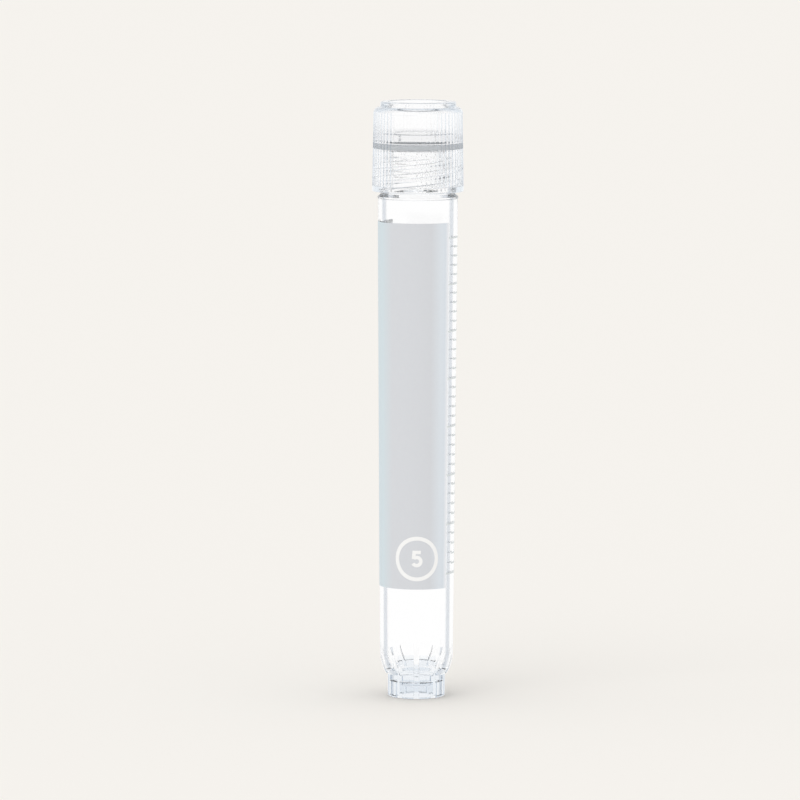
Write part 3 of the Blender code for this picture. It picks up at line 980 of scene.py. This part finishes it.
    def build(self) -> bpy.types.Object:
        """Make the tube and dress it."""
        plastic = self.finish.build()
        mesh = self.thread.cut(self.mesh(), plastic)
        piece = dressed(mesh, "tube_shell", plastic)
        finish(piece, Body.TUBE, Slot.TUBE_PLASTIC, "tube_body")
        return piece


@dataclass
class Scale:
    """Graduation marks printed up the right side: long for each half millilitre, short for a tenth. They are
    white ink; their pale grey is painted shade, the grey that white print shows with the light behind it.
    """

    tube: TubeBody
    finish: ScreenPrint
    count: int = 36
    parts: int = 5
    top: float = 71.24 * MM
    step: float = 7.084 * MM
    growth: float = 0.046 * MM
    stroke: float = 0.22 * MM
    lift: float = 0.012 * MM
    ink: float = 0.012 * MM
    weld: float = 0.001 * MM
    columns: int = 25
    long_arc: tuple[float, float] = (50.0, 100.0)
    short_arc: tuple[float, float] = (66.0, 92.0)

    def build(self) -> bpy.types.Object:
        """Make the marks with Geometry Nodes.

        Returns:
            The printed scale.
        """
        reference = self.tube.outside(0.0) + self.lift
        rule = Rule("graduation_scale", {
            "Count": self.count, "Parts": self.parts, "Top": self.top, "Step": self.step,
            "Growth": self.growth, "Stroke": self.stroke, "Radius": reference,
            "Draft": math.tan(self.tube.draft), "Ink Thickness": self.ink,
            "Long Start": math.radians(self.long_arc[0]), "Long End": math.radians(self.long_arc[1]),
            "Short Start": math.radians(self.short_arc[0]), "Short End": math.radians(self.short_arc[1])})
        tree, sums = rule.tree, rule.sums
        index = node(tree, "GeometryNodeInputIndex").outputs[0]
        steps = sums.do("DIVIDE", index, rule.take("Parts"))
        drop = sums.do("MULTIPLY_ADD", sums.do("MULTIPLY", steps, steps), rule.take("Growth"),
                       sums.do("MULTIPLY", steps, rule.take("Step")))
        height = sums.do("SUBTRACT", rule.take("Top"), drop)
        place = node(tree, "ShaderNodeCombineXYZ", {"Z": height}).outputs[0]
        count = node(tree, "FunctionNodeFloatToInt", {0: rule.take("Count")}).outputs[0]
        points = node(tree, "GeometryNodePoints", {"Count": count, "Position": place}).outputs[0]
        wide = sums.do("DIVIDE", sums.do("MULTIPLY_ADD", height, rule.take("Draft"), rule.take("Radius")),
                       rule.take("Radius"))
        size = node(tree, "ShaderNodeCombineXYZ", {"X": wide, "Y": wide, "Z": 1.0}).outputs[0]
        long_one = sums.do("LESS_THAN", sums.do("FLOORED_MODULO", index, rule.take("Parts")), 0.5)
        short_one = sums.do("SUBTRACT", 1.0, long_one)
        sets = []
        for kind, chosen in (("Long", long_one), ("Short", short_one)):
            strip = self.strip(rule, rule.take(f"{kind} Start"), rule.take(f"{kind} End"))
            sets.append(node(tree, "GeometryNodeInstanceOnPoints", {
                "Points": points, "Selection": chosen, "Instance": strip, "Scale": size}).outputs[0])
        joined = node(tree, "GeometryNodeJoinGeometry")
        for geometry in sets:
            tree.links.new(geometry, joined.inputs[0])
        rule.end(joined.outputs[0])
        ink = self.finish.build()
        mesh = rule.apply(bpy.data.meshes.new("graduation_scale"), ink)
        mesh.name = "graduation_scale"
        mesh.materials.clear()
        piece = new_object(mesh, ink)
        finish(piece, Body.TUBE, Slot.WRITING_PRINT)
        return piece

    def strip(self, rule: Rule, start: bpy.types.NodeSocket,
              end: bpy.types.NodeSocket) -> bpy.types.NodeSocket:
        """A curved stroke of ink about the axis.

        Args:
            rule: the tree that it goes into.
            start: socket of its first bearing.
            end: socket of its last bearing.

        Returns:
            The stroke's geometry socket.
        """
        tree, sums = rule.tree, rule.sums
        flat = node(tree, "GeometryNodeMeshGrid", {"Size X": 1.0, "Size Y": rule.take("Stroke"),
                                                   "Vertices X": self.columns, "Vertices Y": 2}).outputs[0]
        axes = node(tree, "ShaderNodeSeparateXYZ", {0: node(tree, "GeometryNodeInputPosition").outputs[0]})
        share = sums.do("ADD", axes.outputs["X"], 0.5)
        bearing = sums.do("MULTIPLY_ADD", share, sums.do("SUBTRACT", end, start), start)
        x = sums.do("MULTIPLY", rule.take("Radius"), sums.do("SINE", bearing))
        y = sums.do("MULTIPLY", sums.do("MULTIPLY", rule.take("Radius"), -1.0), sums.do("COSINE", bearing))
        place = node(tree, "ShaderNodeCombineXYZ", {"X": x, "Y": y, "Z": axes.outputs["Y"]}).outputs[0]
        bent = node(tree, "GeometryNodeSetPosition", {"Geometry": flat, "Position": place}).outputs[0]
        ink = rule.take("Ink Thickness")
        raised = node(tree, "GeometryNodeExtrudeMesh", {"Mesh": bent, "Individual": False,
                                                        "Offset Scale": ink}).outputs[0]
        back = node(tree, "GeometryNodeFlipFaces", {"Mesh": bent}).outputs[0]
        shell = node(tree, "GeometryNodeJoinGeometry")
        for geometry in (raised, back):
            tree.links.new(geometry, shell.inputs[0])
        return node(tree, "GeometryNodeMergeByDistance", {"Geometry": shell.outputs[0],
                                                          "Distance": self.weld}).outputs[0]


@dataclass
class WritingArea:
    """Printed panel that follows the wall over half a turn. Its print is white ink, and its pale grey is
    painted
    shade: the grey that white print shows with the light behind it.
    """

    tube: TubeBody
    finish: ScreenPrint
    bottom: float = 17.25 * MM
    top: float = 73.6 * MM
    start: float = -132.0
    end: float = 51.0
    inside: float = -0.02 * MM
    outside: float = 0.05 * MM
    rows: int = 12
    turn_step: float = 1.5

    def build(self) -> bpy.types.Object:
        """Make the panel, pressed into the wall so that no air shows behind it."""
        bearings = np.radians(np.arange(self.start, self.end + self.turn_step / 2, self.turn_step))
        heights = np.linspace(self.bottom, self.top, self.rows)
        layers = []
        for lift in (self.inside, self.outside):
            radius = np.array([self.tube.outside(z) + lift for z in heights])
            layers.append(np.stack([radius[:, None] * np.sin(bearings), -radius[:, None] * np.cos(bearings),
                                    np.broadcast_to(heights[:, None], (self.rows, len(bearings)))],
                                   axis=-1))
        verts = np.concatenate([layer.reshape(-1, 3) for layer in layers])
        index = np.arange(len(verts)).reshape(2, self.rows, len(bearings))
        faces = []
        for layer, flip in ((index[0], True), (index[1], False)):
            quads = np.stack([layer[:-1, :-1], layer[:-1, 1:], layer[1:, 1:], layer[1:, :-1]], axis=-1)
            quads = quads[..., ::-1] if flip else quads
            faces += quads.reshape(-1, 4).tolist()
        inner, outer = self.border(index[0]), self.border(index[1])
        for i in range(len(inner)):
            j = (i + 1) % len(inner)
            faces.append((inner[i], inner[j], outer[j], outer[i]))
        mesh = bpy.data.meshes.new("writing_panel")
        mesh.from_pydata(verts.tolist(), [], faces)
        outwards(mesh)
        piece = new_object(mesh, self.finish.build())
        finish(piece, Body.TUBE, Slot.WRITING_PRINT, "writing_area")
        return piece

    def border(self, index: np.ndarray) -> list[int]:
        """Indices round the edge of a layer, in order."""
        return (index[0].tolist() + index[1:, -1].tolist() + index[-1, -2::-1].tolist()
                + index[-2:0:-1, 0].tolist())


def joined(first: Flat, second: Flat) -> Flat:
    """Put two flat meshes together.

    Args:
        first: points and faces of one.
        second: points and faces of the other.

    Returns:
        The points and faces of both.
    """
    shifted = [tuple(i + len(first[0]) for i in face) for face in second[1]]
    return np.concatenate([first[0], second[0]]), first[1] + shifted


@dataclass
class VolumeMark:
    """A ring with the nominal volume in it, knocked out of the print at the foot of the writing area. Its
    white is
    painted light: a thin white layer on the panel stands in for the light seen through the clear, unprinted
    plastic.
    """

    area: WritingArea
    finish: ScreenPrint
    height: float = 22.0 * MM
    ring: float = 3.15 * MM
    stroke: float = 0.6 * MM
    ring_steps: int = 96
    digit_stroke: float = 0.54 * MM
    lift: float = 0.012 * MM
    ink: float = 0.01 * MM

    def wrap(self, points: np.ndarray) -> np.ndarray:
        """Lay flat points onto the panel.

        Args:
            points: x along the wall, y up from the mark's middle.

        Returns:
            The points on the tube.
        """
        z = points[:, 1] + self.height
        radius = np.array([self.area.tube.outside(value) for value in z]) + self.area.outside + self.lift
        bearing = points[:, 0] / radius
        return np.stack([radius * np.sin(bearing), -radius * np.cos(bearing), z], axis=-1)

    def ring_mesh(self) -> Flat:
        """Flat ring of the mark: its points and faces."""
        count = self.ring_steps
        angles = np.linspace(0.0, math.tau, count + 1)[:-1]
        radii = (self.ring - self.stroke / 2, self.ring, self.ring + self.stroke / 2)
        points = np.concatenate([np.stack([r * np.cos(angles), r * np.sin(angles)], axis=-1) for r in radii])
        faces = []
        for inner in (0, count):
            outer = inner + count
            for i in range(count):
                j = (i + 1) % count
                faces.append((inner + i, outer + i, outer + j, inner + j))
        return points, faces

    def ribbon(self, path: list[Point]) -> Flat:
        """A flat stroke of even width along a path, mitred where the path turns.

        Args:
            path: the stroke's middle line.

        Returns:
            The stroke's points and faces.
        """
        middle = np.array(path)
        along = np.diff(middle, axis=0)
        along /= np.linalg.norm(along, axis=1)[:, None]
        before, after = np.vstack([along[:1], along]), np.vstack([along, along[-1:]])
        mean = before + after
        mean /= np.linalg.norm(mean, axis=1)[:, None]
        reach = self.digit_stroke / 2 / np.einsum("ij,ij->i", mean, before)
        side = np.stack([-mean[:, 1], mean[:, 0]], axis=-1) * reach[:, None]
        points = np.concatenate([middle - side, middle, middle + side])
        count = len(middle)
        faces = [(k * count + i, k * count + i + 1, (k + 1) * count + i + 1, (k + 1) * count + i)
                 for k in range(2) for i in range(count - 1)]
        return points, faces

    def digit_mesh(self) -> Flat:
        """The digit five in two strokes, flag and bowl: its points and faces."""
        tip, corner, foot = (0.6 * MM, 1.02 * MM), (-0.42 * MM, 1.02 * MM), (-0.52 * MM, -0.02 * MM)
        flag = line(tip, corner, 7) + line(corner, foot, 8)[1:]
        bowl = arc((-0.03 * MM, -0.39 * MM), 0.64 * MM, 0.63 * MM, 135.0, -152.0, 36)
        return joined(self.ribbon(flag), self.ribbon(bowl))

    def build(self) -> bpy.types.Object:
        """Make the ring and digit as one thin print, whose white is painted light for the knockout."""
        points, faces = joined(self.ring_mesh(), self.digit_mesh())
        mesh = bpy.data.meshes.new("volume_mark")
        mesh.from_pydata(self.wrap(points).tolist(), [], faces)
        mesh.update()
        mesh.validate()
        piece = new_object(mesh, self.finish.build())
        skin = piece.modifiers.new("Ink thickness", "SOLIDIFY")
        skin.thickness = self.ink
        skin.offset = -1.0
        finish(piece, Body.TUBE, Slot.WRITING_PRINT)
        return piece


# ---- The cap and its seal


@dataclass
class SealWasher:
    """Flat silicone washer between the tube's rim and the cap's disc."""

    finish: Silicone
    bottom: float = 84.75 * MM
    top: float = 85.64 * MM
    outside: float = 6.17 * MM
    hole: float = 3.99 * MM
    edge: float = 0.03 * MM

    def build(self) -> bpy.types.Object:
        """Make the washer and dress it."""
        edge = self.edge
        inner, outer = self.hole + edge, self.outside - edge
        low, high = self.bottom + edge, self.top - edge
        points = []
        turns = ((outer, high, 90.0), (outer, low, 0.0), (inner, low, -90.0), (inner, high, -180.0))
        for r, z, start in turns:
            points += arc((r, z), edge, edge, start, start - 90.0, 4)
        turning = Turning("seal_ring", points, np.linspace(0.0, math.tau, 181), closed=True)
        piece = new_object(turning.mesh(), self.finish.build())
        finish(piece, Body.SEAL, Slot.SEAL_SILICONE, "seal_washer")
        return piece


@dataclass
class ScrewCap:
    """Clear cap: ribbed skirt, rounded shoulder, top ring round an open recess, disc with a boss."""

    finish: ClearPolypropylene
    bottom: float = 78.2 * MM
    top: float = 92.0 * MM
    disc_bottom: float = 85.65 * MM
    recess_floor: float = 87.0 * MM
    recess: float = 4.65 * MM
    recess_fillet: float = 0.3 * MM
    floor_rings: tuple[float, ...] = (0.0, 1.6 * MM, 3.2 * MM)
    ring: float = 5.83 * MM
    ring_base: float = 91.2 * MM
    ring_edge: float = 0.25 * MM
    rib_top: float = 90.35 * MM
    rib_bottom: float = 79.1 * MM
    rib_rows_top: float = 89.0 * MM
    run_out: float = 0.12 * MM
    break_half: float = 0.015 * MM
    grip_inside: float = 0.3 * MM
    skirt_top: float = 6.85 * MM
    skirt_bottom: float = 7.04 * MM
    skirt_edge: float = 0.2 * MM
    wall: float = 6.15 * MM
    boss: float = 4.0 * MM
    boss_depth: float = 1.35 * MM
    boss_edge: float = 0.2 * MM
    boss_ring: float = 2.0 * MM
    thread_top: float = 83.6 * MM
    thread_rise: float = 0.8 * MM
    neck_helix: float = 83.71 * MM
    under_neck: float = 0.725 * MM
    grip: Grip = field(init=False)
    thread: Thread = field(init=False)
    helix: Helix = field(init=False)

    def __post_init__(self) -> None:
        """Set the cap's thread under the neck's, so that its upper flank bears on the neck's lower one."""
        self.grip = Grip(self.rib_bottom, self.rib_top + self.run_out, self.wall + self.grip_inside)
        self.thread = Thread("cap_thread", wall=self.wall, depth=-0.3 * MM, root_width=0.84 * MM,
                             crest_width=0.4 * MM, top=self.thread_top, base=self.bottom + self.thread_rise,
                             helix_top=self.neck_helix - self.under_neck)

    def columns(self) -> np.ndarray:
        """Bearings of the points round the cap: twelve to a rib."""
        return np.radians(np.arange(0.0, 360.1, 0.5))

    def skirt(self, z: float) -> float:
        """Outside radius of the skirt at a height."""
        low = self.bottom + self.skirt_edge
        return self.skirt_bottom + (self.skirt_top - self.skirt_bottom) * (z - low) / (self.rib_top - low)

    def section(self) -> list[Point]:
        """Half section: out over the recess floor, up to the ring, down the skirt, back up inside."""
        edge, fillet, skirt = self.ring_edge, self.recess_fillet, self.skirt_edge
        step = self.break_half
        points = [(radius, self.recess_floor) for radius in self.floor_rings]
        points += arc((self.recess - fillet, self.recess_floor + fillet), fillet, fillet, -90.0, 0.0, 6)
        points += line(points[-1], (self.recess, self.top - edge), 4)[1:]
        points += arc((self.recess + edge, self.top - edge), edge, edge, 180.0, 90.0, 6)[1:]
        points += arc((self.ring - edge, self.top - edge), edge, edge, 90.0, 0.0, 6)
        ledge = self.rib_top + self.run_out
        across, high = self.skirt_top - self.ring, self.ring_base - self.rib_top
        for point in arc((self.ring, self.rib_top), across, high, 90.0, 0.0, 14):
            if point[1] > ledge + 2 * step:
                points.append(point)
        for z in (ledge + step, ledge - step):
            share = (z - self.rib_top) / high
            points.append((self.ring + across * math.sqrt(1.0 - share * share), z))
        panel_top = ledge - self.grip.panel_drop
        points += [(self.skirt(z), z) for z in (self.rib_top, panel_top + step, panel_top - step)]
        points += [(self.skirt(z), z) for z in np.linspace(self.rib_rows_top, self.rib_bottom + step, 6)]
        points += [(self.skirt(self.rib_bottom - step), self.rib_bottom - step)]
        points += arc((self.skirt_bottom - skirt, self.bottom + skirt), skirt, skirt, 0.0, -90.0, 6)
        points += arc((self.wall + skirt, self.bottom + skirt), skirt, skirt, -90.0, -180.0, 6)
        low, high = self.bottom + skirt, self.disc_bottom
        heights = self.thread.rows(low, high, self.columns())
        self.helix = Helix(len(points), len(points) + len(heights), low, high, self.thread.lead)
        points += [(self.wall, z) for z in heights]
        points += [(self.boss, self.disc_bottom)]
        low = self.disc_bottom - self.boss_depth
        points += arc((self.boss - self.boss_edge, low + self.boss_edge), self.boss_edge, self.boss_edge,
                      0.0, -90.0, 5)
        points += [(self.boss_ring, low), (0.0, low)]
        return points

    def build(self) -> bpy.types.Object:
        """Make the cap and dress it."""
        plastic = self.finish.build()
        section = self.section()  # this also sets the helix
        turning = Turning("cap_turning", section, self.columns(), helix=self.helix)
        mesh = self.thread.cut(self.grip.cut(turning.mesh(), plastic), plastic)
        piece = dressed(mesh, "cap_shell", plastic)
        finish(piece, Body.CAP, Slot.CAP_PLASTIC, "screw_cap")
        return piece


# ---- Studio


@dataclass
class Studio:
    """Plain pale floor and background, soft light and the photograph's camera."""

    background: str = "#F5F2ED"
    distance: float = 935.2 * MM
    camera_height: float = 142.7 * MM
    side: float = -2.66 * MM
    pitch: float = 5.907
    roll: float = 0.17
    focal_px: float = 6101.9
    sensor_mm: float = 36.0
    frame_px: float = 800.0
    near: float = 0.01
    far: float = 50.0
    white: str = "#FFFFFF"
    steep: str = "#E0E4EA"
    steep_from: float = 0.26
    steep_over: float = 0.5
    sky: float = 0.93
    key: float = 0.33
    key_spread: float = 40.0
    key_from: tuple[float, float, float] = (-0.5, -0.7, 0.9)
    floor_reach: float = 6.0
    bounces: int = 96
    diffuse_bounces: int = 24

    def camera(self) -> None:
        """Place the camera at the photograph's viewing angle."""
        data = bpy.data.cameras.new("camera")
        data.sensor_width = self.sensor_mm
        data.lens = self.focal_px / self.frame_px * self.sensor_mm
        data.clip_start = self.near
        data.clip_end = self.far
        made = bpy.data.objects.new("camera", data)
        made.location = (self.side, -self.distance, self.camera_height)
        turned = Euler((math.radians(90.0 - self.pitch), 0.0, 0.0)).to_matrix()
        made.rotation_euler = (turned @ Matrix.Rotation(math.radians(self.roll), 3, "Z")).to_euler()
        bpy.context.scene.collection.objects.link(made)
        bpy.context.scene.camera = made

    def passed_on(self, path: bpy.types.Node, sums: Sums) -> bpy.types.NodeSocket:
        """1 for the rays that plastic lets through or throws back, 0 for the others."""
        return sums.do("MAXIMUM", path.outputs["Is Transmission Ray"], path.outputs["Is Glossy Ray"])

    def world(self) -> None:
        """Even white surroundings, seen by the camera as the plain background."""
        world = bpy.data.worlds.new("studio")
        world.use_nodes = True
        bpy.context.scene.world = world
        tree = world.node_tree
        tree.nodes.clear()
        sums = Sums(tree)
        path = node(tree, "ShaderNodeLightPath")
        through = self.passed_on(path, sums)
        up = node(tree, "ShaderNodeSeparateXYZ",
                  {0: node(tree, "ShaderNodeTexCoord").outputs["Generated"]}).outputs["Z"]
        past = sums.do("SUBTRACT", sums.do("ABSOLUTE", up), self.steep_from)
        steep = sums.smooth(sums.do("DIVIDE", past, self.steep_over))
        seen = node(tree, "ShaderNodeMix", {"Factor": steep, 6: linear(self.white), 7: linear(self.steep)},
                    data_type="RGBA").outputs[2]
        lit = node(tree, "ShaderNodeMix", {"Factor": through, 6: (self.sky, self.sky, self.sky, 1.0),
                                           7: seen}, data_type="RGBA").outputs[2]
        shown = node(tree, "ShaderNodeMix", {"Factor": path.outputs["Is Camera Ray"], 6: lit,
                                             7: linear(self.background)}, data_type="RGBA").outputs[2]
        back = node(tree, "ShaderNodeBackground", {"Color": shown, "Strength": 1.0})
        node(tree, "ShaderNodeOutputWorld", {"Surface": back.outputs[0]})

    def floor(self) -> None:
        """A wide pale floor that keeps the tube's shadow and shows white through the plastic."""
        mesh = bpy.data.meshes.new("floor")
        reach = self.floor_reach
        mesh.from_pydata([(-reach, -reach, 0.0), (reach, -reach, 0.0), (reach, reach, 0.0),
                          (-reach, reach, 0.0)], [], [(0, 1, 2, 3)])
        material = bpy.data.materials.new("Pale matte floor")
        material.use_nodes = True
        tree = material.node_tree
        tree.nodes.clear()
        sums = Sums(tree)
        path = node(tree, "ShaderNodeLightPath")
        through = self.passed_on(path, sums)
        matte = node(tree, "ShaderNodeBsdfDiffuse", {"Color": linear(self.background)})
        glow = node(tree, "ShaderNodeEmission", {"Color": linear(self.white), "Strength": 1.0})
        mixed = node(tree, "ShaderNodeMixShader", {0: through, 1: matte.outputs[0], 2: glow.outputs[0]})
        node(tree, "ShaderNodeOutputMaterial", {"Surface": mixed.outputs[0]})
        new_object(mesh, material)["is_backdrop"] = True

    def sun(self) -> None:
        """One very soft lamp from the upper left front, even over the whole floor."""
        data = bpy.data.lights.new("soft_key", "SUN")
        data.energy = self.key
        data.angle = math.radians(self.key_spread)
        made = bpy.data.objects.new("soft_key", data)
        made.location = self.key_from
        made.rotation_euler = made.location.to_track_quat("Z", "Y").to_euler()
        bpy.context.scene.collection.objects.link(made)

    def build(self) -> None:
        """Set up the floor, the light and the camera."""
        self.floor()
        self.world()
        self.sun()
        self.camera()
        bpy.context.scene.view_settings.view_transform = "Standard"
        cycles = bpy.context.scene.cycles
        cycles.max_bounces = cycles.transmission_bounces = cycles.glossy_bounces = self.bounces
        cycles.diffuse_bounces = self.diffuse_bounces


def corners() -> list[list[float]]:
    """The shown object's box as two plain lists."""
    return [[float(value) for value in corner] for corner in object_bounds()]


def main() -> None:
    """Build every piece in order, then the studio."""
    logging.basicConfig(level=logging.INFO, format="%(name)s: %(message)s")
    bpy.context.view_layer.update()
    # The plastics' edge and rim colours are painted shade and painted light where the wall turns away from
    # the view.
    tube_plastic = ClearPolypropylene(
        name="Clear polypropylene with painted edge shade, moulded tube", face="#FFFFFF", edge="#BEC5CE", rim="#FFFFFF",
        edge_from=0.37, edge_to=0.53, edge_soft=0.06, roughness=0.03, flow_mm=6.0, skin_high=5.45,
        skin_low=3.6, split=7.0, thick="#EEF2F6", thick_low=-0.1, thick_high=4.4)
    cap_plastic = ClearPolypropylene(
        name="Clear polypropylene with painted edge shade, moulded cap", face="#FFFFFF", edge="#D2DEEA", rim="#EEF3F8",
        edge_from=0.25, edge_to=0.70, edge_soft=0.25, roughness=0.06, flow_mm=4.0, skin_high=5.2,
        skin_low=6.4, split=91.0, thick="#F4F4F5", thick_low=85.6, thick_high=87.3)
    # The writing area's print is white ink; its grey colour is painted shade, the grey that white print
    # shows with the light behind it.
    painted_shade_print = ScreenPrint(
        name="White ink with painted shade, screen printed", colour="#F2F4F8", mottle="#F5F7FA", grain_mm=0.5,
        roughness=0.6,
        # Painted light and shade by bearing: bluish on the left, lighter towards the right and white at the
        # right-hand end.
        painted_light_by_bearing=((-90.0, "#E0EBEE"), (-62.0, "#E0EBEE"), (-40.0, "#E2E3E5"), (20.0, "#E2E3E5"),
               (36.0, "#EBF0F4"), (44.0, "#EAF0F5"), (50.0, "#FFFFFF")))
    # The scale is white ink too; its grey colour is painted shade, as on the writing area.
    painted_shade_scale_ink = ScreenPrint(name="White scale ink with painted shade", colour="#DFE5E6", mottle="#D9DFE1", grain_mm=0.2,
                            roughness=0.5, thinness=1.0)
    # The volume mark's white is painted light: the mark is unprinted clear plastic, shown white as the light
    # behind it.
    painted_light_knockout_ink = ScreenPrint(name="Painted light of the clear knockout, screen printed", colour="#FBFBFA", mottle="#F6F7F8",
                            grain_mm=0.3, roughness=0.5)
    silicone = Silicone(name="Pale silicone rubber, moulded", colour="#FBFDFE", shade="#F6F9FB",
                        ring_mm=2.5133)
    tube = TubeBody(tube_plastic)
    tube.build()
    area = WritingArea(tube, painted_shade_print)
    area.build()
    Scale(tube, painted_shade_scale_ink).build()
    VolumeMark(area, painted_light_knockout_ink).build()
    SealWasher(silicone).build()
    ScrewCap(cap_plastic).build()
    Studio().build()


if __name__ == "__main__":
    main()
